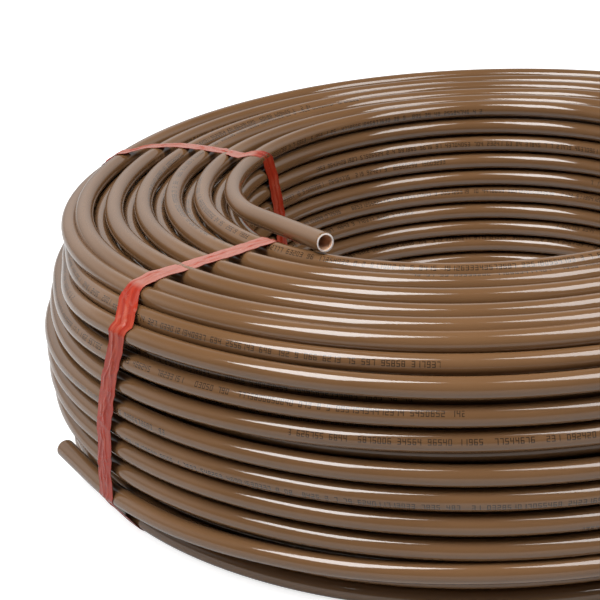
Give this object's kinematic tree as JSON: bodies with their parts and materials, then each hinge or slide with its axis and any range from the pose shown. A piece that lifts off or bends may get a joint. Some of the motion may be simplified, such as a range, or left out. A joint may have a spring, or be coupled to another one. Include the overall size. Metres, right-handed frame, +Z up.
{
  "type": "pex pipe coil",
  "caption": "Flat-lying coil of small brown plastic heating pipe, wound in nested layers round an open bore and held by thin film straps, with both pipe ends free.",
  "frame": {"origin": "on the coil's axis, at the level that the coil rests on", "axes": "+Z up the coil's axis; the inner free end points to -Y and the outer free end lies at -X, -Y"},
  "size_m": [0.7819, 0.7853, 0.2352],
  "materials": {
    "pipe_plastic": "glossy extruded barrier layer",
    "strap_film": "thin stretched film, slightly see-through"
  },
  "bodies": {
    "root": {"wound_turns": "pipe_plastic", "inner_end": "pipe_plastic", "outer_end": "pipe_plastic", "strap_1": "strap_film", "strap_2": "strap_film", "strap_3": "strap_film", "strap_4": "strap_film"}
  },
  "joints": []
}
